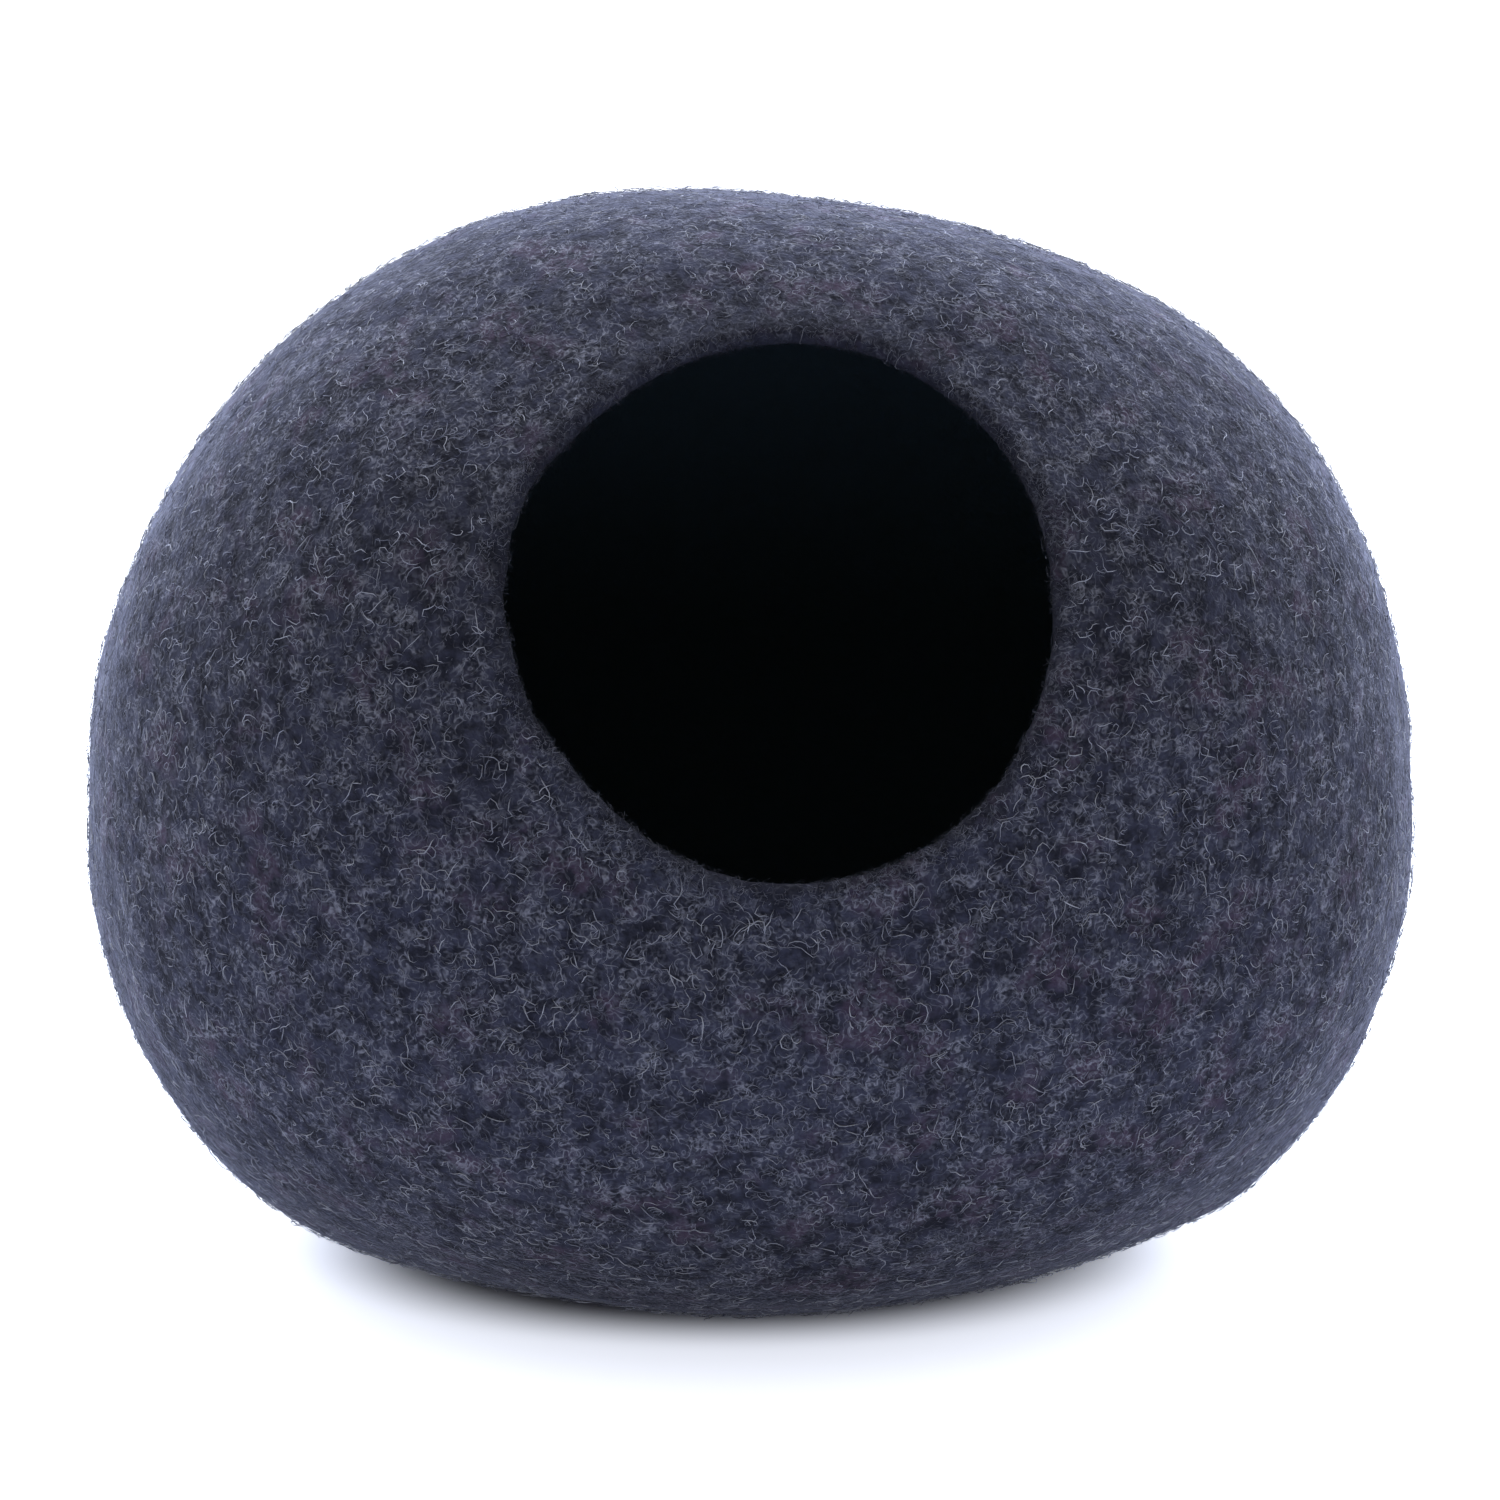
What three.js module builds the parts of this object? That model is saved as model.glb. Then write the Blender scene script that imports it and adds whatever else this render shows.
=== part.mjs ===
// A pet cave of thick wool felt: one seamless pod, felted wet over a form, with a round mouth high
// in its front. The wall is a single layer of felt of even thickness. It closes all round but for
// the mouth, and where the pod has settled under its own weight it lies flat on the floor.
// Millimetres, +Z up. The mouth looks towards -Y, and +X is on the right of someone facing it.
// The origin is on the floor, under the middle of the pod.

import * as THREE from 'three';

// Size of the rounded form before its swellings, and the thickness of the wall.
const WIDTH = 480;
const DEPTH = 440;
const HEIGHT = 382;
const WALL = 7;

// The rounded form: it is widest at BELLY_HEIGHT, and each half of it, above and below, is a
// quarter of a superellipse. An exponent of 2 is an ellipse, and a larger one is fuller.
const BELLY_HEIGHT = 156;
const ROUNDING_ABOVE = 2.3;
const ROUNDING_BELOW = 2;
const ROUNDING_IN_PLAN = 2.1;

// How far the form would reach below the floor if nothing held it up, and the height over which
// the wall curls out of its flat underside.
const SETTLED_BY = 15;
const CURL_HEIGHT = 4.5;

// The mouth: a round hole about an axis that leaves the belly's middle and tilts upwards.
const MOUTH_WIDTH = 197;
const MOUTH_LENGTH = 222;
const MOUTH_TILT_DEG = 33.4;
const MOUTH_TURN_DEG = 3;
const MOUTH_LIP_ROLL = 5;
const MOUTH_ROLL_REACH_DEG = 7;

// Soft swellings and hollows that the hands left in the wall. azimuth runs from the front (0)
// to the right (90), elevation from the belly (0) to the crown (90), both in degrees; spread is
// the angle at which a swelling has faded to about a third, and rise is in millimetres.
const SWELLINGS = [
  { where: 'crown, to the left', azimuth: -90, elevation: 73, spread: 24, rise: 8 },
  { where: 'crown, to the right', azimuth: 84, elevation: 60, spread: 16, rise: -1 },
  { where: 'right shoulder', azimuth: 90, elevation: 48, spread: 15, rise: 3.5 },
  { where: 'low on the left', azimuth: -78, elevation: -38, spread: 20, rise: 15 },
  { where: 'low on the right', azimuth: 80, elevation: -36, spread: 17, rise: 13.5 },
  { where: 'over the mouth, on its left', azimuth: -34, elevation: 52, spread: 9, rise: -2.5 },
  { where: 'over the mouth, on its right', azimuth: 47, elevation: 44, spread: 9, rise: -2.5 },
  { where: 'right of the mouth', azimuth: 34, elevation: 10, spread: 8, rise: -3 },
  { where: 'under the mouth', azimuth: 12, elevation: -10, spread: 16, rise: -3 },
  { where: 'low in front, on the left', azimuth: -22, elevation: -18, spread: 13, rise: 2.5 },
  { where: 'back, upper right', azimuth: 146, elevation: 36, spread: 22, rise: 4 },
  { where: 'back, left', azimuth: -148, elevation: 14, spread: 20, rise: -4 },
  { where: 'low at the back, on the left', azimuth: -134, elevation: -38, spread: 24, rise: 12 },
  { where: 'low at the back', azimuth: 174, elevation: -40, spread: 24, rise: 11 },
  { where: 'low at the back, on the right', azimuth: 130, elevation: -39, spread: 22, rise: 11 },
  { where: 'low in front', azimuth: 2, elevation: -29, spread: 18, rise: 4 },
];

// The same for the mouth's outline: angle runs from its right side (0) over its top (90).
const MOUTH_UNEVENNESS = [
  { where: 'upper left', angle: 122, spread: 28, rise: -7 },
  { where: 'left', angle: 190, spread: 40, rise: 1.5 },
  { where: 'lower left', angle: 228, spread: 16, rise: -2 },
  { where: 'lower right', angle: 310, spread: 45, rise: 4.5 },
];

// How finely the wall is cut into faces.
const SPOKES = 60;
const RINGS = 34;
const LIP_STEPS = 4;

const FELT = new THREE.MeshStandardMaterial({ color: 0x46485a, roughness: 0.95, metalness: 0 });

const radians = THREE.MathUtils.degToRad;

function directionOf(azimuth, elevation) {
  const a = radians(azimuth);
  const e = radians(elevation);
  return new THREE.Vector3(Math.sin(a) * Math.cos(e), -Math.cos(a) * Math.cos(e), Math.sin(e));
}

const fading = (angle, spread) => Math.exp(-((angle / spread) ** 2));

const swellings = SWELLINGS.map(({ azimuth, elevation, spread, rise }) => ({
  towards: directionOf(azimuth, elevation),
  spread: radians(spread),
  rise,
}));

// The pod's radius from its middle in one direction: the superellipse form and its swellings.
function formRadius(towards) {
  const above = towards.z > 0;
  const rounding = above ? ROUNDING_ABOVE : ROUNDING_BELOW;
  const tall = above ? HEIGHT - BELLY_HEIGHT : BELLY_HEIGHT + SETTLED_BY;
  const inPlan = (Math.abs(towards.x) / (WIDTH / 2)) ** ROUNDING_IN_PLAN
    + (Math.abs(towards.y) / (DEPTH / 2)) ** ROUNDING_IN_PLAN;
  const upright = (Math.abs(towards.z) / tall) ** rounding;
  const plain = (inPlan ** (rounding / ROUNDING_IN_PLAN) + upright) ** (-1 / rounding);
  return swellings.reduce(
    (radius, s) => radius + s.rise * fading(towards.angleTo(s.towards), s.spread),
    plain,
  );
}

// The floor holds the underside up: heights well below it become 0, and those near it curl up
// from it along a parabola that meets both without a crease.
function settledHeight(height) {
  if (height <= -CURL_HEIGHT) return 0;
  if (height >= CURL_HEIGHT) return height;
  return (height + CURL_HEIGHT) ** 2 / (4 * CURL_HEIGHT);
}

// The mouth's axis, and two directions square to it: to the right and up along the wall.
const mouthAxis = directionOf(MOUTH_TURN_DEG, MOUTH_TILT_DEG);
const mouthRight = directionOf(MOUTH_TURN_DEG + 90, 0);
const mouthUp = new THREE.Vector3().crossVectors(mouthAxis, mouthRight);
const mouthDistance = formRadius(mouthAxis);

function turnBetween(a, b) {
  const turn = Math.abs(a - b) % 360;
  return Math.min(turn, 360 - turn);
}

// The angle from the mouth's axis to its edge, on one spoke.
function mouthAngle(spokeDeg) {
  const across = Math.cos(radians(spokeDeg)) / (MOUTH_WIDTH / 2);
  const along = Math.sin(radians(spokeDeg)) / (MOUTH_LENGTH / 2);
  const uneven = MOUTH_UNEVENNESS.reduce(
    (sum, u) => sum + u.rise * fading(turnBetween(spokeDeg, u.angle), u.spread),
    0,
  );
  return Math.atan((1 / Math.hypot(across, along) + uneven) / mouthDistance);
}

// A point of the outer face. share runs along a spoke, from 0 at the mouth's edge to 1 at the
// pole opposite the mouth. Close to the mouth the wall rolls in a little.
function outerPoint(spokeDeg, share) {
  const edge = mouthAngle(spokeDeg);
  const angle = edge + share * (Math.PI - edge);
  const aside = mouthRight.clone().multiplyScalar(Math.cos(radians(spokeDeg)))
    .addScaledVector(mouthUp, Math.sin(radians(spokeDeg)));
  const towards = mouthAxis.clone().multiplyScalar(Math.cos(angle))
    .addScaledVector(aside, Math.sin(angle));
  const roll = MOUTH_LIP_ROLL * fading(angle - edge, radians(MOUTH_ROLL_REACH_DEG));
  const point = towards.clone().multiplyScalar(formRadius(towards) - roll);
  point.z = settledHeight(point.z + BELLY_HEIGHT);
  return point;
}

const NUDGE = 1e-3;

// The outward direction square to the outer face, from points a small step away on both sides.
function outwardAt(spokeDeg, share) {
  const s = Math.min(share, 1 - NUDGE);
  const alongSpoke = outerPoint(spokeDeg, s + NUDGE).sub(outerPoint(spokeDeg, s - NUDGE));
  const roundSpokes = outerPoint(spokeDeg + NUDGE, s).sub(outerPoint(spokeDeg - NUDGE, s));
  return alongSpoke.cross(roundSpokes).normalize();
}

// A spoke's points, from the outer face next to the pole, round the lip, and back inside.
function sectionPoints(spokeDeg) {
  const outer = [];
  const inner = [];
  for (let ring = 0; ring < RINGS; ring += 1) {
    const share = ring / RINGS;
    const point = outerPoint(spokeDeg, share);
    outer.push(point);
    inner.push(point.clone().addScaledVector(outwardAt(spokeDeg, share), -WALL));
  }
  const outward = outwardAt(spokeDeg, 0);
  const middle = outer[0].clone().add(inner[0]).multiplyScalar(0.5);
  const intoMouth = outerPoint(spokeDeg, 0).sub(outerPoint(spokeDeg, NUDGE)).normalize();
  const lip = [];
  for (let step = 1; step < LIP_STEPS; step += 1) {
    const turn = (step / LIP_STEPS) * Math.PI;
    lip.push(middle.clone()
      .addScaledVector(outward, (WALL / 2) * Math.cos(turn))
      .addScaledVector(intoMouth, (WALL / 2) * Math.sin(turn)));
  }
  return [...outer.reverse(), ...lip, ...inner];
}

// The whole wall as one closed surface: the sections side by side, and a point at each end, where
// all spokes meet at the pole outside and inside.
function feltGeometry() {
  const sections = Array.from({ length: SPOKES }, (_, k) => sectionPoints((k * 360) / SPOKES));
  const rows = sections[0].length;
  const outerPole = outerPoint(0, 1);
  const poleOutward = outwardAt(0, 1);
  const innerPole = outerPole.clone().addScaledVector(poleOutward, -WALL);
  const points = [...sections.flat(), outerPole, innerPole];

  const outerPoleIndex = SPOKES * rows;
  const innerPoleIndex = outerPoleIndex + 1;
  const faces = [];
  for (let k = 0; k < SPOKES; k += 1) {
    const here = k * rows;
    const next = ((k + 1) % SPOKES) * rows;
    faces.push(outerPoleIndex, next, here);
    for (let row = 0; row < rows - 1; row += 1) {
      faces.push(here + row, next + row, here + row + 1);
      faces.push(next + row, next + row + 1, here + row + 1);
    }
    faces.push(here + rows - 1, next + rows - 1, innerPoleIndex);
  }

  const geometry = new THREE.BufferGeometry().setFromPoints(points);
  geometry.setIndex(faces);
  geometry.computeVertexNormals();
  return geometry;
}

// The pod stands centred on the origin, whichever way its swellings lean.
function centred(geometry) {
  geometry.computeBoundingBox();
  const middle = geometry.boundingBox.getCenter(new THREE.Vector3());
  return geometry.translate(-middle.x, -middle.y, 0);
}

const feltShell = new THREE.Mesh(centred(feltGeometry()), FELT);
feltShell.name = 'felt_shell';

const petCave = new THREE.Group();
petCave.add(feltShell);

export default petCave;
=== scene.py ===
"""A pet cave of thick wool felt, standing on a pale floor in soft light.

The pod is one seamless wall of felt with a round mouth high in its front. Lengths of the form are
in millimetres, as on a maker's drawing, and become metres where a mesh is made. +Z is up, and the
mouth looks towards -Y.
"""

import bpy
import numpy as np
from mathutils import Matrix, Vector


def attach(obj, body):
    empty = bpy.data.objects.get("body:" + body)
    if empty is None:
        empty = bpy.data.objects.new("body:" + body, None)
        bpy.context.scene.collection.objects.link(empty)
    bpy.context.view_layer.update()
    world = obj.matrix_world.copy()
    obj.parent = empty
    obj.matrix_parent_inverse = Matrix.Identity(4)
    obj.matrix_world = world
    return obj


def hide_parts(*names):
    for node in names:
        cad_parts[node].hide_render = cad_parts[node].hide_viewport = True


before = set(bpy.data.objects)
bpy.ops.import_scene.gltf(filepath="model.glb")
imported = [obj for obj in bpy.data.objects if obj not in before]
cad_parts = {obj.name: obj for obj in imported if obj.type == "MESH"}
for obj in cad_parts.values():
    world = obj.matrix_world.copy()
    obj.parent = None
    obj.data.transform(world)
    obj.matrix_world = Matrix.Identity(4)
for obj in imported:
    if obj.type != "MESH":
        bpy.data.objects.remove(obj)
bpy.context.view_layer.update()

MM = 0.001

# The form, in the same sizes as the solid that the pod is made from.
WIDTH = 480
DEPTH = 440
HEIGHT = 382
WALL = 7
BELLY_HEIGHT = 156
ROUNDING_ABOVE = 2.3
ROUNDING_BELOW = 2.0
ROUNDING_IN_PLAN = 2.1
SETTLED_BY = 15
CURL_HEIGHT = 4.5

MOUTH_WIDTH = 197
MOUTH_LENGTH = 222
MOUTH_TILT = 33.4
MOUTH_TURN = 3
MOUTH_LIP_ROLL = 5
MOUTH_ROLL_REACH = 7

# Soft swellings and hollows of the wall: azimuth from the front to the right, elevation from the
# belly to the crown, and spread, in degrees, then the rise in millimetres.
SWELLINGS = {
    "crown, to the left": (-90, 73, 24, 8),
    "crown, to the right": (84, 60, 16, -1),
    "right shoulder": (90, 48, 15, 3.5),
    "low on the left": (-78, -38, 20, 15),
    "low on the right": (80, -36, 17, 13.5),
    "over the mouth, on its left": (-34, 52, 9, -2.5),
    "over the mouth, on its right": (47, 44, 9, -2.5),
    "right of the mouth": (34, 10, 8, -3),
    "under the mouth": (12, -10, 16, -3),
    "low in front, on the left": (-22, -18, 13, 2.5),
    "back, upper right": (146, 36, 22, 4),
    "back, left": (-148, 14, 20, -4),
    "low at the back, on the left": (-134, -38, 24, 12),
    "low at the back": (174, -40, 24, 11),
    "low at the back, on the right": (130, -39, 22, 11),
    "low in front": (2, -29, 18, 4),
}

# The mouth's outline: angle from its right side over its top, spread in degrees, rise in mm.
MOUTH_UNEVENNESS = {
    "upper left": (122, 28, -7),
    "left": (190, 40, 1.5),
    "lower left": (228, 16, -2),
    "lower right": (310, 45, 4.5),
}

# Rows and columns of the wall's mesh.
SPOKES = 330
OUTER_RINGS = 190
INNER_RINGS = 50
LIP_STEPS = 8
SPOKE_ANGLES = np.arange(SPOKES) * 360 / SPOKES

# Unevenness left by the hands: how far it stands out, how wide it is, both in mm, and its seed.
# It fades out over the lowest RELIEF_FROM millimetres, where the pod lies on the floor.
RELIEF_LAYERS = [(1.3, 70, 11), (0.8, 30, 12), (0.35, 17, 13)]
RELIEF_FROM = 14

# Points along a loose fibre. The first and the last close its tube; the others carry a ring each,
# whose share of the full thickness is its taper.
FIBRE_POINTS = 6
FIBRE_TAPER = np.array([0.85, 1.0, 0.9, 0.6])

# Sides of a loose fibre's tube and of a nap hair's, and their directions round it.
TUBE_SIDES = 3
TUBE_TURNS = np.radians([90, 210, 330])

# Fuzz is rooted above this height, and keeps at least that height over the floor, in millimetres.
ROOTS_FROM = 2.5
LEAST_HEIGHT = 0.02

# The width of the clumps that loose fibres and nap hairs gather in, in millimetres, the share of
# loose fibres on the lip, and how far a fibre turns along its length, in radians.
FIBRE_CLUMP = 11
NAP_CLUMP = 9
FIBRES_ON_LIP = 0.003
FIBRE_CURL = 2.4


def direction_of(azimuth, elevation):
    """The unit direction at an azimuth (0 is the front, 90 the right) and an elevation."""
    a, e = np.radians(azimuth), np.radians(elevation)
    return np.stack([np.sin(a) * np.cos(e), -np.cos(a) * np.cos(e), np.sin(e)], -1)


def fading(angle, spread):
    """A bell curve: 1 at angle 0, and about a third at the spread."""
    return np.exp(-((angle / spread) ** 2))


def form_radius(towards):
    """The pod's radius in unit directions: a superellipsoid with its own upper and lower halves,
    plus a bell curve for each swelling, over the angle from that swelling's own direction."""
    x, y, z = np.abs(towards[..., 0]), np.abs(towards[..., 1]), towards[..., 2]
    rounding = np.where(z > 0, ROUNDING_ABOVE, ROUNDING_BELOW)
    tall = np.where(z > 0, HEIGHT - BELLY_HEIGHT, BELLY_HEIGHT + SETTLED_BY)
    in_plan = (x / (WIDTH / 2)) ** ROUNDING_IN_PLAN + (y / (DEPTH / 2)) ** ROUNDING_IN_PLAN
    upright = (np.abs(z) / tall) ** rounding
    radius = (in_plan ** (rounding / ROUNDING_IN_PLAN) + upright) ** (-1 / rounding)
    for azimuth, elevation, spread, rise in SWELLINGS.values():
        cosine = np.clip(towards @ direction_of(azimuth, elevation), -1, 1)
        radius = radius + rise * fading(np.arccos(cosine), np.radians(spread))
    return radius


def settled_height(height):
    """Heights well under the floor become 0, and near it they curl up along a parabola."""
    curl = (height + CURL_HEIGHT) ** 2 / (4 * CURL_HEIGHT)
    return np.where(height >= CURL_HEIGHT, height, np.where(height <= -CURL_HEIGHT, 0, curl))


MOUTH_AXIS = direction_of(MOUTH_TURN, MOUTH_TILT)
MOUTH_RIGHT = direction_of(MOUTH_TURN + 90, 0)
MOUTH_UP = np.cross(MOUTH_AXIS, MOUTH_RIGHT)
MOUTH_DISTANCE = form_radius(MOUTH_AXIS)


def mouth_angle(spoke):
    """The angle from the mouth's axis to its edge on a spoke (degrees): an ellipse's radius, a
    little uneven, seen from the pod's middle."""
    across = np.cos(np.radians(spoke)) / (MOUTH_WIDTH / 2)
    along = np.sin(np.radians(spoke)) / (MOUTH_LENGTH / 2)
    radius = 1 / np.hypot(across, along)
    for angle, spread, rise in MOUTH_UNEVENNESS.values():
        turn = np.abs((spoke - angle + 180) % 360 - 180)
        radius = radius + rise * fading(turn, spread)
    return np.arctan(radius / MOUTH_DISTANCE)


def outer_point(spoke, share):
    """Points of the outer face before its fine relief, in millimetres. share runs along a spoke
    from 0 at the mouth's edge to 1 at the pole opposite the mouth."""
    edge = mouth_angle(spoke)
    angle = edge + share * (np.pi - edge)
    turn = np.radians(spoke)[..., None]
    aside = np.cos(turn) * MOUTH_RIGHT + np.sin(turn) * MOUTH_UP
    towards = np.cos(angle)[..., None] * MOUTH_AXIS + np.sin(angle)[..., None] * aside
    roll = MOUTH_LIP_ROLL * fading(angle - edge, np.radians(MOUTH_ROLL_REACH))
    point = towards * (form_radius(towards) - roll)[..., None]
    point[..., 2] = settled_height(point[..., 2] + BELLY_HEIGHT)
    return point


def unit(vectors):
    """Vectors of length 1."""
    return vectors / np.maximum(np.linalg.norm(vectors, axis=-1, keepdims=True), 1e-12)


def outward_at(spoke, share):
    """The direction square to the outer face, from points a small step away on both sides."""
    step = 1e-3
    share = np.minimum(share, 1 - step)
    along = outer_point(spoke, share + step) - outer_point(spoke, share - step)
    across = outer_point(spoke + step, share) - outer_point(spoke - step, share)
    return unit(np.cross(along, across))


def lattice_value(corner, seed):
    """A repeatable value from -1 to 1 for each whole-numbered lattice corner: its numbers and the
    seed are mixed through large primes and shifts, and the lowest 16 bits are kept."""
    mixed = corner[..., 0] * 73856093 ^ corner[..., 1] * 19349663 ^ corner[..., 2] * 83492791
    mixed = (mixed ^ seed * 2654435761) & 0x7FFFFFFF
    mixed = (mixed ^ mixed >> 13) * 1274126177 & 0x7FFFFFFF
    mixed = (mixed ^ mixed >> 16) & 0xFFFF
    return mixed / 32767.5 - 1


def soft_noise(points, size, seed):
    """Smooth noise from -1 to 1 whose swells are about size wide: values at the corners of a
    lattice, blended inside each cell along a smooth step."""
    scaled = points / size
    low = np.floor(scaled).astype(np.int64)
    part = scaled - low
    part = part * part * (3 - 2 * part)
    total = np.zeros(points.shape[:-1])
    for corner in np.ndindex(2, 2, 2):
        weight = np.prod(np.where(np.array(corner) == 1, part, 1 - part), axis=-1)
        total += weight * lattice_value(low + np.array(corner), seed)
    return total


def hand_relief(points):
    """How far the felt stands out or in at points, in millimetres: the sum of three smooth noises,
    for swells a hand wide, thumb-sized lumps and small pebbling."""
    relief = sum(rise * soft_noise(points, size, seed) for rise, size, seed in RELIEF_LAYERS)
    return relief * np.clip(points[..., 2] / RELIEF_FROM, 0, 1)


def plain_grid(rings):
    """The outer face without its relief, from the mouth's edge to near the back pole: shares of
    the way there, points, and outward directions, all shaped rings x spokes."""
    share, spoke = np.meshgrid(np.arange(rings) / rings, SPOKE_ANGLES, indexing="ij")
    return share, outer_point(spoke, share), outward_at(spoke, share)


def outer_grid():
    """The outer face with its relief: points and outward directions."""
    _, plain, outward = plain_grid(OUTER_RINGS)
    return plain + outward * hand_relief(plain)[..., None], outward


def inner_grid():
    """The inner face, a wall's thickness in from the outer one, in fewer rings."""
    share, plain, outward = plain_grid(INNER_RINGS)
    relief = 0.7 * hand_relief(plain) * (share > 0)
    return plain + outward * (relief - WALL)[..., None]


def lip_grid(outer_edge, outward):
    """The mouth's lip: a half circle from the outer face over the cut edge to the inner face,
    bulging along the wall into the mouth."""
    at_edge = outer_point(SPOKE_ANGLES, np.zeros(SPOKES))
    into = unit(at_edge - outer_point(SPOKE_ANGLES, np.full(SPOKES, 1e-3)))
    middle = outer_edge - outward * WALL / 2
    turn = (np.arange(1, LIP_STEPS) / LIP_STEPS * np.pi)[:, None, None]
    uneven = 1 + 0.18 * soft_noise(middle, 9, 21) + 0.12 * soft_noise(middle, 4, 22)
    return middle + WALL / 2 * (outward * np.cos(turn) + into * np.sin(turn) * uneven[:, None])


def new_piece(name, points, faces, smooth=True):
    """An object whose mesh has these points, in metres, and triangles."""
    mesh = bpy.data.meshes.new(name)
    mesh.vertices.add(len(points))
    mesh.vertices.foreach_set("co", np.ascontiguousarray(points, dtype=np.float32).ravel())
    mesh.loops.add(faces.size)
    mesh.loops.foreach_set("vertex_index", faces.astype(np.int32).ravel())
    mesh.polygons.add(len(faces))
    mesh.polygons.foreach_set("loop_start", np.arange(0, faces.size, 3, dtype=np.int32))
    mesh.polygons.foreach_set("use_smooth", np.full(len(faces), smooth))
    mesh.update(calc_edges=True)
    piece = bpy.data.objects.new(name, mesh)
    bpy.context.scene.collection.objects.link(piece)
    return piece


def give_values(piece, name, values):
    """Gives a piece's mesh a named value at each of its points."""
    attribute = piece.data.attributes.new(name, "FLOAT", "POINT")
    attribute.data.foreach_set("value", np.ascontiguousarray(values, dtype=np.float32))


def shell_faces(rows):
    """Triangles of a tube of rows x SPOKES points that is closed by a point before its first row
    and one after its last row; those two come after all rows."""
    index = np.arange(rows * SPOKES).reshape(rows, SPOKES)
    here, after = index[:-1], index[1:]
    near, far = np.roll(here, -1, axis=1), np.roll(after, -1, axis=1)
    first = np.stack([here, near, after], -1).reshape(-1, 3)
    second = np.stack([near, far, after], -1).reshape(-1, 3)
    start, end = rows * SPOKES, rows * SPOKES + 1
    top, bottom = index[0], index[-1]
    cap = np.stack([np.full(SPOKES, start), np.roll(top, -1), top], -1)
    base = np.stack([bottom, np.roll(bottom, -1), np.full(SPOKES, end)], -1)
    return np.concatenate([first, second, cap, base])


def centring_shift(points):
    """The shift that puts the middle of the points over the origin."""
    flat = points.reshape(-1, 3)
    middle = (flat.min(0) + flat.max(0)) / 2
    return np.array([-middle[0], -middle[1], 0])


def before_lip(ring, spoke):
    """How "inside", the weight of painted shade, rises on the outer face's rings before the lip: to
    0.2 over 1.5 rings, and to 0.5 over 10 rings above the mouth, where the felt turns down out of
    the light."""
    above = np.clip(np.sin(np.radians(spoke)), 0, 1) ** 2
    return (0.2 + 0.3 * above) * np.clip(1 - ring / (1.5 + 8.5 * above), 0, 1) ** 1.3


def make_wall(outer, lip, shift):
    """The felt wall: the outer face from its back pole to the mouth, the lip, and the inner face
    back to its own pole. Its value "inside" is the weight of painted shade: it rises from 0 on the
    outer face to 1 inside, and begins to rise a little before the lip. The lip and the inner face
    take the second material, whose sheen is left off as painted shade."""
    inner = inner_grid()
    rows = np.concatenate([outer[::-1], lip, inner])
    pole = outer_point(np.array([0.0]), np.array([1.0]))
    pole_outward = outward_at(np.array([0.0]), np.array([1.0]))
    pole = pole + pole_outward * hand_relief(pole)[..., None]
    points = np.concatenate([rows.reshape(-1, 3), pole, pole - pole_outward * WALL])
    faces = shell_faces(len(rows))
    piece = new_piece("felted_wall", (points + shift) * MM, faces)
    in_shade = faces.min(axis=1) >= SPOKES * len(outer)
    piece.data.polygons.foreach_set("material_index", in_shade.astype(np.int32))

    # The weight of painted shade: rising before the lip, across it, and full on the inner face.
    ring, spoke = np.meshgrid(np.arange(len(outer))[::-1], SPOKE_ANGLES, indexing="ij")
    inside = np.ones((len(rows), SPOKES))
    inside[:len(outer)] = before_lip(ring, spoke)
    inside[len(outer):len(outer) + len(lip)] = np.linspace(0.3, 0.9, len(lip))[:, None]
    give_values(piece, "inside", np.concatenate([inside.ravel(), [0, 1]]))
    return piece


def sampled(grid, ring, spoke):
    """A grid's values between its rings and spokes, blended from the four around each place."""
    ring = np.clip(ring, 0, len(grid) - 1.001)
    low, left = np.floor(ring).astype(int), np.floor(spoke).astype(int)
    v, u = (ring - low)[..., None], (spoke - left)[..., None]
    left, right = left % SPOKES, (left + 1) % SPOKES
    near = grid[low, left] * (1 - u) + grid[low, right] * u
    far = grid[low + 1, left] * (1 - u) + grid[low + 1, right] * u
    return near * (1 - v) + far * v


def curly_walks(rng, count, length, curl):
    """Walks of FIBRE_POINTS steps in a plane, in millimetres: the heading turns steadily and
    wavers. Gives the way across and the way ahead, each count x points."""
    way = np.linspace(0, 1, FIBRE_POINTS)
    start = rng.uniform(0, 2 * np.pi, count)[:, None]
    turn = (rng.choice([-1, 1], count) * np.abs(rng.normal(curl, 0.5 * curl, count)))[:, None] * way
    swings, phase = rng.uniform(0.6, 1.6, count)[:, None], rng.random(count)[:, None]
    waver = rng.uniform(0.2, 1.1, count)[:, None] * np.sin(2 * np.pi * (swings * way + phase))
    heading = start + turn + waver
    step = (length / (FIBRE_POINTS - 1))[:, None]
    across = np.cumsum(np.cos(heading), axis=1) * step
    ahead = np.cumsum(np.sin(heading), axis=1) * step
    return across - across.mean(1, keepdims=True), ahead - ahead.mean(1, keepdims=True)


def laid_on(face, up, ring, spoke, across, ahead, height):
    """Lays walks on the felt's face: each step across and ahead becomes a step in rings and
    spokes, through the face's own slopes at the root, and each point stands off by its height."""
    by_ring = (sampled(face, ring + 0.5, spoke) - sampled(face, ring - 0.5, spoke))
    by_spoke = (sampled(face, ring, spoke + 0.5) - sampled(face, ring, spoke - 0.5))
    aside = unit(by_spoke)
    forward = np.cross(aside, sampled(up, ring, spoke))
    rings = ahead / np.maximum(np.sum(by_ring * forward, -1), 0.2)[:, None]
    lean = np.sum(by_ring * aside, -1)[:, None] * rings
    spokes = (across - lean) / np.maximum(np.linalg.norm(by_spoke, axis=-1), 0.2)[:, None]
    at_ring, at_spoke = ring[:, None] + rings, spoke[:, None] + spokes
    upward = unit(sampled(up, at_ring, at_spoke))
    return sampled(face, at_ring, at_spoke) + upward * height[..., None], upward


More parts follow.
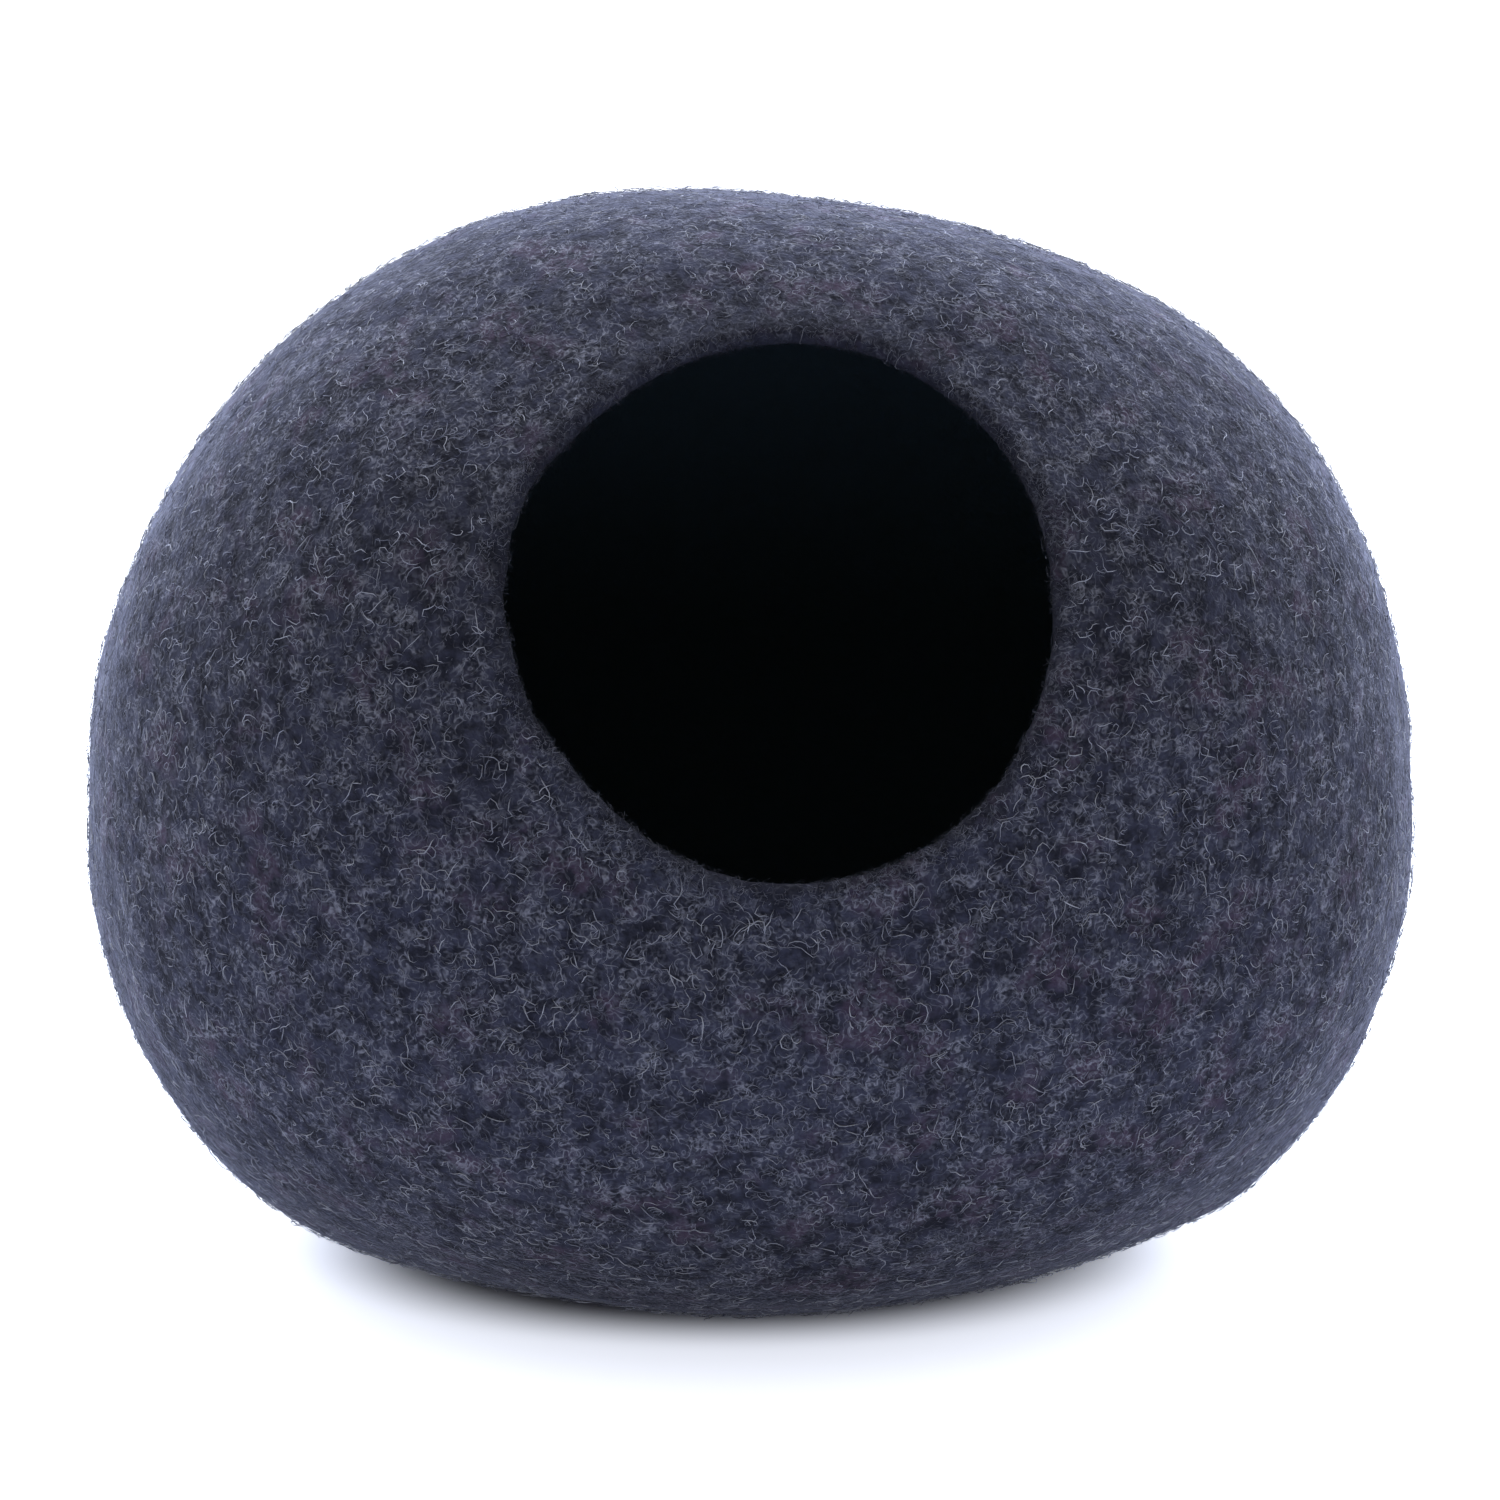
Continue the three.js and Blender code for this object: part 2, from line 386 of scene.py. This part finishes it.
def tube_faces(rings):
    """Triangles between the rings of one tube whose points are numbered ring by ring."""
    faces = []
    for row in range(rings - 1):
        for corner in range(TUBE_SIDES):
            here = row * TUBE_SIDES + corner
            near = row * TUBE_SIDES + (corner + 1) % TUBE_SIDES
            faces += [(here, near, here + TUBE_SIDES), (near, near + TUBE_SIDES, here + TUBE_SIDES)]
    return faces


def repeated_faces(faces, count, points_each):
    """One shape's triangles repeated for count shapes of points_each points."""
    faces = np.array(faces)[None] + (np.arange(count) * points_each)[:, None, None]
    return faces.reshape(-1, 3)


def fibre_mesh(paths, outward, thick):
    """Tubes of three sides round the paths, thinning towards both ends, where they close in a
    point. Gives the points and triangles of all tubes."""
    count, rings = len(paths), len(FIBRE_TAPER)
    along = unit(np.gradient(paths, axis=1))
    side = unit(np.cross(along, outward))
    up = np.cross(side, along)
    inner = slice(1, FIBRE_POINTS - 1)
    radius = FIBRE_TAPER[None, :, None, None] * thick[:, None, None, None] / 2
    turn = TUBE_TURNS[None, None, :, None]
    spoked = np.cos(turn) * side[:, inner, None] + np.sin(turn) * up[:, inner, None]
    tube = (paths[:, inner, None] + radius * spoked).reshape(count, rings * TUBE_SIDES, 3)
    points = np.concatenate([tube, paths[:, :1], paths[:, -1:]], axis=1)
    start = rings * TUBE_SIDES
    faces = tube_faces(rings)
    for corner in range(TUBE_SIDES):
        after = (corner + 1) % TUBE_SIDES
        last = start - TUBE_SIDES
        faces += [(start, after, corner), (last + corner, last + after, start + 1)]
    return points.reshape(-1, 3), repeated_faces(faces, count, start + 2)


def rooted_on(face, rng, count, clump, seed, lip_share):
    """Roots of fibres spread over the felt's face by area, thicker in clumps of the given size,
    as places between its rings and spokes. The share lip_share of them is on the mouth's lip,
    and none is rooted where the pod lies on the floor."""
    a, b = face[:-1], face[1:]
    near = np.roll(a, -1, axis=1)
    area = np.linalg.norm(np.cross(b - a, near - a), axis=-1)
    crowd = np.clip(0.55 + 0.75 * soft_noise(a, clump, seed), 0.04, None)
    chance = area * crowd * (a[..., 2] > ROOTS_FROM)
    chance[:LIP_STEPS] *= lip_share / chance[:LIP_STEPS].sum()
    chance[LIP_STEPS:] *= (1 - lip_share) / chance[LIP_STEPS:].sum()
    cell = rng.choice(area.size, size=count, p=(chance / chance.sum()).ravel())
    ring, spoke = np.unravel_index(cell, area.shape)
    return ring + rng.random(count), spoke + rng.random(count)


def inside_at(ring, spoke):
    """The wall's value "inside", the weight of painted shade, at places on the face whose rings
    count from the lip's inner end.
    """
    over_lip = 0.9 - 0.6 * np.clip(ring / (LIP_STEPS - 2), 0, 1)
    outside = before_lip(ring - (LIP_STEPS - 1), spoke * 360 / SPOKES)
    return np.where(ring < LIP_STEPS - 1.5, over_lip, outside)


def fuzz_piece(name, points, faces, shift, inside):
    """A piece of fuzz, kept over the floor, with each fibre's own value "inside", the weight of the
    painted shade over it.
    """
    points = points + shift
    points[:, 2] = np.maximum(points[:, 2], LEAST_HEIGHT)
    piece = new_piece(name, points * MM, faces)
    give_values(piece, "inside", np.repeat(inside, len(points) // len(inside)))
    return piece


def make_fuzz(name, face, up, shift, count, seed, size, thickness, strays):
    """A piece of fuzz: count curly fibres about size long on the felt's face. Each lies close to
    it with its middle humped a little, and the share strays has an end that stands further off."""
    rng = np.random.default_rng(seed)
    ring, spoke = rooted_on(face, rng, count, FIBRE_CLUMP, seed, FIBRES_ON_LIP)
    across, ahead = curly_walks(rng, count, rng.uniform(0.55, 1.35, count) * size, FIBRE_CURL)
    way = np.linspace(0, 1, FIBRE_POINTS)
    thick = rng.uniform(0.7, 1.2, count) * thickness
    rest = thick[:, None] * rng.uniform(0.1, 0.9, count)[:, None]
    hump = rng.uniform(0, 0.9, count)[:, None] * np.sin(np.pi * way)
    lift = np.where(rng.random(count) < strays, rng.uniform(0.8, 2.8, count),
                    rng.uniform(0, 0.7, count))
    height = rest + hump + lift[:, None] * way ** 2
    paths, upward = laid_on(face, up, ring, spoke, across, ahead, height)
    points, faces = fibre_mesh(paths, upward, thick)
    return fuzz_piece(name, points, faces, shift, inside_at(ring, spoke))


def make_nap(name, face, up, shift, count, seed, size, thickness, lip_share):
    """A piece of short nap: count bent hairs about size long, each rooted in the felt's face and
    leaning over, of three sides and closed by a point."""
    rng = np.random.default_rng(seed)
    ring, spoke = rooted_on(face, rng, count, NAP_CLUMP, seed, lip_share)
    upward = unit(sampled(up, ring, spoke))
    aside = unit(sampled(face, ring, spoke + 0.5) - sampled(face, ring, spoke - 0.5))
    turn, turned = rng.uniform(0, 2 * np.pi, count), rng.normal(0, 1.1, count)
    lean = np.radians(rng.uniform(38, 84, count))[:, None]
    ahead = np.cross(upward, aside)
    over = [np.cos(a)[:, None] * aside + np.sin(a)[:, None] * ahead for a in (turn, turn + turned)]
    length = (rng.uniform(0.5, 1.4, count) * size)[:, None]
    root = sampled(face, ring, spoke) - 0.12 * upward
    first = upward * np.cos(lean) + over[0] * np.sin(lean)
    middle = root + 0.55 * length * first
    tip = middle + 0.45 * length * unit(0.25 * upward * np.cos(lean) + over[1])
    side = unit(np.cross(first, upward))
    around = TUBE_TURNS[None, :, None]
    spoked = np.cos(around) * side[:, None] + np.sin(around) * np.cross(side, first)[:, None]
    radius = (rng.uniform(0.7, 1.2, count) * thickness / 2)[:, None, None]
    lower, upper = root[:, None] + radius * spoked, middle[:, None] + 0.8 * radius * spoked
    points = np.concatenate([lower, upper, tip[:, None]], axis=1)
    apex = 2 * TUBE_SIDES
    faces = [(2, 1, 0)] + tube_faces(2)
    for corner in range(TUBE_SIDES):
        faces.append((TUBE_SIDES + corner, TUBE_SIDES + (corner + 1) % TUBE_SIDES, apex))
    faces = repeated_faces(faces, count, apex + 1)
    return fuzz_piece(name, points.reshape(-1, 3), faces, shift, inside_at(ring, spoke))


def grid_outward(face):
    """Outward directions of a grid of points, square to its own rings and spokes."""
    by_ring = np.gradient(face, axis=0)
    by_spoke = np.roll(face, -1, axis=1) - np.roll(face, 1, axis=1)
    return unit(np.cross(by_ring, by_spoke))


def node_tree(name, inputs, outputs):
    """An empty shader node group with named sockets, and its input and output nodes."""
    tree = bpy.data.node_groups.new(name, "ShaderNodeTree")
    for label, kind, value in inputs:
        socket = tree.interface.new_socket(name=label, in_out="INPUT", socket_type=kind)
        if value is not None:
            socket.default_value = value
    for label, kind in outputs:
        tree.interface.new_socket(name=label, in_out="OUTPUT", socket_type=kind)
    return tree, tree.nodes.new("NodeGroupInput"), tree.nodes.new("NodeGroupOutput")


def feed(tree, socket, given):
    """Gives a node's socket a number, a colour (a tuple) or another node's output."""
    if isinstance(given, tuple):
        socket.default_value = (*given, 1.0)
    elif isinstance(given, (int, float)):
        socket.default_value = given
    else:
        tree.links.new(given, socket)


def value_node(tree, operation, *operands):
    """A Math node; each operand is a number or a socket."""
    node = tree.nodes.new("ShaderNodeMath")
    node.operation = operation
    for socket, operand in zip(node.inputs, operands):
        feed(tree, socket, operand)
    return node.outputs[0]


def vector_node(tree, operation, *operands):
    """A Vector Math node; each operand is a socket or three numbers. Gives the node."""
    node = tree.nodes.new("ShaderNodeVectorMath")
    node.operation = operation
    for socket, operand in zip(node.inputs, operands):
        if isinstance(operand, tuple):
            socket.default_value = operand
        else:
            tree.links.new(operand, socket)
    return node


def noise_node(tree, vector, scale, detail, roughness=0.6):
    """A Noise Texture node; scale is a number or a socket."""
    node = tree.nodes.new("ShaderNodeTexNoise")
    node.inputs["Detail"].default_value = detail
    node.inputs["Roughness"].default_value = roughness
    tree.links.new(vector, node.inputs["Vector"])
    feed(tree, node.inputs["Scale"], scale)
    return node


def range_node(tree, value, low, high, to_low=0.0, to_high=1.0):
    """A smooth Map Range node from low..high to to_low..to_high; low and high may be sockets."""
    node = tree.nodes.new("ShaderNodeMapRange")
    node.interpolation_type = "SMOOTHSTEP"
    ends = {"From Min": low, "From Max": high, "To Min": to_low, "To Max": to_high}
    for label, given in {"Value": value, **ends}.items():
        feed(tree, node.inputs[label], given)
    return node.outputs["Result"]


def blend_node(tree, factor, first, second):
    """A Mix node for colours; the factor is a socket, and each colour a socket or a tuple."""
    node = tree.nodes.new("ShaderNodeMix")
    node.data_type = "RGBA"
    factor_socket, first_socket, second_socket = node.inputs[0], node.inputs[6], node.inputs[7]
    tree.links.new(factor, factor_socket)
    feed(tree, first_socket, first)
    feed(tree, second_socket, second)
    return node.outputs[2]


def curly_fibres_group():
    """Curly fibres as a mask: the thin line along which a smooth noise has one given value, kept
    only in short stretches by a second noise."""
    tree, given, out = node_tree(
        "curly fibres",
        [("Vector", "NodeSocketVector", None), ("Scale", "NodeSocketFloat", 200.0),
         ("Width", "NodeSocketFloat", 0.03), ("Level", "NodeSocketFloat", 0.5),
         ("Sparse", "NodeSocketFloat", 0.5), ("Shift", "NodeSocketVector", None)],
        [("Fibres", "NodeSocketFloat")])
    moved = vector_node(tree, "ADD", given.outputs["Vector"], given.outputs["Shift"])
    line = noise_node(tree, moved.outputs[0], given.outputs["Scale"], 0.0, 0.5)
    off = value_node(tree, "SUBTRACT", line.outputs[0], given.outputs["Level"])
    thin = range_node(tree, value_node(tree, "ABSOLUTE", off), 0.0, given.outputs["Width"], 1.0, 0.0)
    stretch_scale = value_node(tree, "MULTIPLY", given.outputs["Scale"], 0.7)
    stretch = noise_node(tree, moved.outputs[0], stretch_scale, 0.0, 0.5)
    above = value_node(tree, "ADD", given.outputs["Sparse"], 0.07)
    kept = range_node(tree, stretch.outputs[0], given.outputs["Sparse"], above)
    tree.links.new(value_node(tree, "MULTIPLY", thin, kept), out.inputs["Fibres"])
    return tree


def add_fibres(tree, vector, group, scale, width, level, sparse, shift):
    """One layer of curly fibres; gives its mask."""
    node = tree.nodes.new("ShaderNodeGroup")
    node.node_tree = group
    for label, value in (("Scale", scale), ("Width", width), ("Level", level), ("Sparse", sparse)):
        node.inputs[label].default_value = value
    node.inputs["Shift"].default_value = (shift, 0.7 * shift, 1.3 * shift)
    tree.links.new(vector, node.inputs["Vector"])
    return node.outputs["Fibres"]


def curled_coordinates(tree, at, scale, reach):
    """Coordinates pushed to and fro by a colour noise, by up to about half the reach in metres,
    so that lines drawn on them curl."""
    noise = noise_node(tree, at, scale, 1.0, 0.5)
    return vector_node(tree, "MULTIPLY_ADD", noise.outputs["Color"], (reach,) * 3, at).outputs[0]


def new_material(name, roughness, sheen, sheen_tint):
    """A material with a Principled BSDF; gives both and its Object coordinates."""
    material = bpy.data.materials.new(name)
    material.use_nodes = True
    tree = material.node_tree
    shader = tree.nodes["Principled BSDF"]
    shader.inputs["Roughness"].default_value = roughness
    shader.inputs["Specular IOR Level"].default_value = 0.2
    shader.inputs["Sheen Weight"].default_value = sheen
    shader.inputs["Sheen Roughness"].default_value = 0.22
    shader.inputs["Sheen Tint"].default_value = (*sheen_tint, 1.0)
    coordinates = tree.nodes.new("ShaderNodeTexCoord").outputs["Object"]
    return material, tree, shader, coordinates


# Shades of wool.
DARK_WOOL = (0.012, 0.013, 0.0245)
# Painted shade of the inner face, deep in the mouth.
PAINTED_SHADE_WOOL = (0.09, 0.14, 0.19)
BLUE_WOOL = (0.033, 0.036, 0.066)
PLUM_WOOL = (0.055, 0.036, 0.067)
GREY_WOOL = (0.102, 0.108, 0.151)
FROST_WOOL = (0.275, 0.285, 0.368)
PALE_WOOL = (0.48, 0.495, 0.58)
MIST_WOOL = (0.32, 0.335, 0.43)
SLATE_WOOL = (0.17, 0.18, 0.245)
NIGHT_WOOL = (0.05, 0.055, 0.092)

# The height of one unit of the felt's bump, in metres.
BUMP_HEIGHT = 0.0010

# Layers of curly fibres drawn on the felt: scale per metre, width, level, sparseness, shift.
FIBRE_LAYERS = [
    (105.0, 0.020, 0.50, 0.49, 0.00), (140.0, 0.028, 0.58, 0.47, 0.31),
    (180.0, 0.035, 0.44, 0.47, 0.71), (225.0, 0.043, 0.53, 0.47, 1.13),
    (290.0, 0.055, 0.60, 0.46, 1.57),
]


def painted_shade_inside(tree, colour, most):
    """Paints shade: blends a colour towards dark wool over the lip and inside, where shade falls, by
    up to the share most. Gives the blend and the value "inside"."""
    node = tree.nodes.new("ShaderNodeAttribute")
    node.attribute_name = "inside"
    inside = node.outputs["Fac"]
    return blend_node(tree, range_node(tree, inside, 0.0, 0.8, 0.0, most), colour, DARK_WOOL), inside


def felt_material(name, group, sheen):
    """Heathered felt: dark, blue and plum wool blended by smooth noises in soft clumps, with a
    greyer frost in patches, under layers of curly fibres that are palest where the frost is. The
    clumps and a fine grain pebble the face. All of it is drawn a little longer from front to back,
    and painted shade darkens it over the mouth's lip and inside."""
    material, tree, shader, at = new_material(name, 0.95, sheen, (0.50, 0.54, 0.78))
    at = vector_node(tree, "MULTIPLY", at, (1.0, 0.72, 1.0)).outputs[0]
    clumps = noise_node(tree, at, 170.0, 2.0)
    frost = noise_node(tree, at, 95.0, 2.0)
    hues = noise_node(tree, at, 48.0, 1.0)
    grain = noise_node(tree, at, 750.0, 1.0)

    plum = range_node(tree, hues.outputs[0], 0.50, 0.68)
    wool = blend_node(tree, value_node(tree, "MULTIPLY", plum, 0.8), BLUE_WOOL, PLUM_WOOL)
    light = range_node(tree, clumps.outputs[0], 0.36, 0.64)
    colour = blend_node(tree, light, DARK_WOOL, wool)
    grit = range_node(tree, grain.outputs[0], 0.36, 0.66)
    crowd = range_node(tree, frost.outputs[0], 0.36, 0.64)
    haze = value_node(tree, "MULTIPLY", value_node(tree, "MULTIPLY", grit, crowd), 0.5)
    colour = blend_node(tree, haze, colour, GREY_WOOL)

    curled = curled_coordinates(tree, at, 210.0, 0.0090)
    masks = [add_fibres(tree, curled, group, *layer) for layer in FIBRE_LAYERS]
    fibres = masks[0]
    for mask in masks[1:]:
        fibres = value_node(tree, "MAXIMUM", fibres, mask)
    fibres = value_node(tree, "MULTIPLY", fibres, value_node(tree, "MULTIPLY_ADD", grit, 0.5, 0.5))
    seen = value_node(tree, "MULTIPLY_ADD", crowd, 0.45, 0.24)
    colour = blend_node(tree, value_node(tree, "MULTIPLY", fibres, seen), colour, FROST_WOOL)

    # Painted shade over the mouth's lip and inside.
    colour, inside = painted_shade_inside(tree, colour, 0.85)
    # Painted shade deep inside the mouth: the inner face blends towards its painted shade colour.
    deep_shade_weight = range_node(tree, inside, 0.9, 1.0, 0.0, 0.75)
    tree.links.new(blend_node(tree, deep_shade_weight, colour, PAINTED_SHADE_WOOL), shader.inputs["Base Color"])

    height = value_node(tree, "MULTIPLY", grain.outputs[0], 0.6)
    height = value_node(tree, "ADD", height, value_node(tree, "MULTIPLY", clumps.outputs[0], 1.2))
    bump = tree.nodes.new("ShaderNodeBump")
    bump.inputs["Strength"].default_value = 0.8
    bump.inputs["Distance"].default_value = BUMP_HEIGHT
    tree.links.new(height, bump.inputs["Height"])
    tree.links.new(bump.outputs["Normal"], shader.inputs["Normal"])
    return material


def fibre_material(name, sheen, colour, other):
    """Loose wool in two shades that change from place to place, with painted shade over the lip."""
    material, tree, shader, at = new_material(name, 0.8, sheen, (0.66, 0.70, 0.88))
    place = noise_node(tree, at, 190.0, 2.0)
    shade = blend_node(tree, range_node(tree, place.outputs[0], 0.38, 0.62), colour, other)
    tree.links.new(painted_shade_inside(tree, shade, 0.9)[0], shader.inputs["Base Color"])
    return material


# The camera's height over its aim (degrees), its distance from it, and the aim's height (metres).
CAMERA_ELEVATION = 12.0
CAMERA_DISTANCE = 1.304
AIM_HEIGHT = 0.1845


def make_camera():
    """The photograph's view: from straight in front, a little above, through a long lens."""
    elevation = np.radians(CAMERA_ELEVATION)
    aim = Vector((0.0, 0.0, AIM_HEIGHT))
    back = Vector((0.0, -np.cos(elevation), np.sin(elevation)))
    data = bpy.data.cameras.new("camera")
    data.lens = 85.0
    data.sensor_width = 36.0
    data.clip_end = 60.0
    camera = bpy.data.objects.new("camera", data)
    camera.location = aim + back * CAMERA_DISTANCE
    camera.rotation_euler = (np.radians(90.0) - elevation, 0.0, 0.0)
    bpy.context.scene.collection.objects.link(camera)
    bpy.context.scene.camera = camera


# Cool light of the softboxes and the room's back, and warmer light of its dim front.
COOL_LIGHT = (0.80, 0.86, 1.0)
WARM_LIGHT = (1.0, 0.93, 0.66)

# How strongly the floor lights the pod from below.
FLOOR_LIGHT = 0.17

# The ellipse of painted shadow on the floor round the pod's foot: half its width and depth, and its
# middle, in m.
SHADOW_ELLIPSE_SIZE = (0.109, 0.074)
SHADOW_ELLIPSE_PLACE = (-0.008, -0.010)


def area_light(name, place, size, power):
    """A soft rectangular light at a place, facing the pod's middle."""
    data = bpy.data.lights.new(name, "AREA")
    data.shape = "RECTANGLE"
    data.size, data.size_y = size
    data.energy = power
    data.color = COOL_LIGHT
    light = bpy.data.objects.new(name, data)
    light.location = place
    aim = Vector((0.0, 0.0, 0.18)) - Vector(place)
    light.rotation_euler = aim.to_track_quat("-Z", "Y").to_euler()
    bpy.context.scene.collection.objects.link(light)


def white_floor():
    """A wide matt floor that gives a little light of its own. The camera sees it glow brightly
    enough to read as white, less so in an ellipse round the pod's foot: a painted soft shadow laid
    over the floor's real shadow there. The glow rises along two smooth steps of the distance in
    that ellipse."""
    corners = np.array([(-20, -20, 0), (20, -20, 0), (20, 20, 0), (-20, 20, 0)], float)
    floor = new_piece("floor", corners, np.array([(0, 1, 2), (0, 2, 3)]), smooth=False)
    material = bpy.data.materials.new("floor paper")
    material.use_nodes = True
    tree = material.node_tree
    shader = tree.nodes["Principled BSDF"]
    shader.inputs["Base Color"].default_value = (0.84, 0.87, 0.95, 1.0)
    shader.inputs["Roughness"].default_value = 1.0
    shader.inputs["Specular IOR Level"].default_value = 0.0
    shader.inputs["Emission Color"].default_value = (0.87, 0.90, 1.0, 1.0)
    seen = tree.nodes.new("ShaderNodeLightPath").outputs["Is Camera Ray"]
    at = tree.nodes.new("ShaderNodeTexCoord").outputs["Object"]
    (width, depth), (aside, behind) = SHADOW_ELLIPSE_SIZE, SHADOW_ELLIPSE_PLACE
    scale, start = (1 / width, 1 / depth, 1.0), (-aside / width, -behind / depth, 0.0)
    spread = vector_node(tree, "MULTIPLY_ADD", at, scale, start)
    away = vector_node(tree, "LENGTH", spread.outputs[0]).outputs["Value"]
    # Painted shadow: the glow the camera sees is low near the foot and rises outwards.
    close = range_node(tree, away, 1.06, 1.6)
    wide = range_node(tree, away, 1.2, 2.5, 0.76, 1.1)
    glow = value_node(tree, "MULTIPLY_ADD", close, wide, -FLOOR_LIGHT)
    glow = value_node(tree, "MULTIPLY_ADD", seen, glow, FLOOR_LIGHT)
    tree.links.new(glow, shader.inputs["Emission Strength"])
    floor.data.materials.append(material)


def light_room():
    """A room that is brighter and cooler at its back than at its front, along a smooth step, and
    a little brighter on the left, with a softbox overhead and one on each side. The camera sees
    its walls as plain white."""
    scene = bpy.context.scene
    world = bpy.data.worlds.new("white room")
    scene.world = world
    world.use_nodes = True
    tree = world.node_tree
    background = tree.nodes["Background"]
    direction = tree.nodes.new("ShaderNodeTexCoord").outputs["Generated"]
    parts = tree.nodes.new("ShaderNodeSeparateXYZ")
    tree.links.new(direction, parts.inputs[0])
    behind = range_node(tree, parts.outputs["Y"], -0.6, 0.9)
    light = value_node(tree, "MULTIPLY_ADD", behind, 1.60, 0.18)
    aside = range_node(tree, parts.outputs["X"], -1.0, 1.0, 1.08, 0.94)
    light = value_node(tree, "MULTIPLY", light, aside)
    seen = tree.nodes.new("ShaderNodeLightPath").outputs["Is Camera Ray"]
    tint = blend_node(tree, behind, WARM_LIGHT, COOL_LIGHT)
    tint = blend_node(tree, seen, tint, (1.0, 1.0, 1.0))
    tree.links.new(tint, background.inputs["Color"])
    strength = value_node(tree, "MAXIMUM", light, value_node(tree, "MULTIPLY", seen, 1.2))
    tree.links.new(strength, background.inputs["Strength"])
    area_light("softbox overhead", (0.0, 0.6, 1.55), (0.8, 0.7), 26.0)
    area_light("softbox left", (-1.4, 1.15, 0.6), (1.6, 1.6), 35.0)
    area_light("softbox right", (1.4, 1.15, 0.6), (1.6, 1.6), 40.0)
    scene.view_settings.view_transform = "Standard"
    scene.view_settings.look = "None"
    scene.view_settings.exposure = 0.0
    scene.view_settings.gamma = 1.0


# Sheen of the felt's outer face and of the loose fibres on it; the lip and the inside have none, as
# painted shade.
FELT_SHEEN = 0.55
FIBRE_SHEEN = 0.55

make_camera()
light_room()
white_floor()

outer, outward = outer_grid()
lip = lip_grid(outer[0], outward[0])
shift = centring_shift(outer)
group = curly_fibres_group()

wall = make_wall(outer, lip, shift)
wall.data.materials.append(felt_material("heathered felt", group, FELT_SHEEN))
wall.data.materials.append(felt_material("heathered felt in the shade", group, 0.0))
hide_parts("felt_shell")
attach(wall, "root")

# Pieces of fuzz: count, seed, length and thickness in millimetres, share of strays, two shades.
FUZZ = {
    "fuzz_pale": (8000, 31, 8.5, 0.33, 0.06, PALE_WOOL, MIST_WOOL),
    "fuzz_grey": (8000, 32, 7.0, 0.30, 0.08, MIST_WOOL, SLATE_WOOL),
    "fuzz_blue": (8000, 33, 6.5, 0.30, 0.08, SLATE_WOOL, NIGHT_WOOL),
}

face = np.concatenate([lip[::-1], outer])
up = grid_outward(face)
fuzz_pieces = []
for name, (count, seed, size, thickness, strays, colour, other) in FUZZ.items():
    fuzz = make_fuzz(name, face, up, shift, count, seed, size, thickness, strays)
    wool = fibre_material(name.replace("_", " ") + " wool", FIBRE_SHEEN, colour, other)
    fuzz.data.materials.append(wool)
    fuzz_pieces.append(fuzz)

nap = make_nap("fuzz_nap", face, up, shift, 15500, 41, 2.6, 0.18, 0.0)
nap.data.materials.append(fibre_material("short nap wool", FIBRE_SHEEN, GREY_WOOL, FROST_WOOL))
# The nap on the lip has no sheen and is darkened: painted shade over the lip.
lip_nap = make_nap("fuzz_lip", face, up, shift, 4500, 42, 3.0, 0.17, 1.0)
lip_nap.data.materials.append(fibre_material("nap wool on the lip", 0.0, GREY_WOOL, FROST_WOOL))
fuzz_pieces += [nap, lip_nap]
for fuzz in fuzz_pieces:
    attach(fuzz, "root")
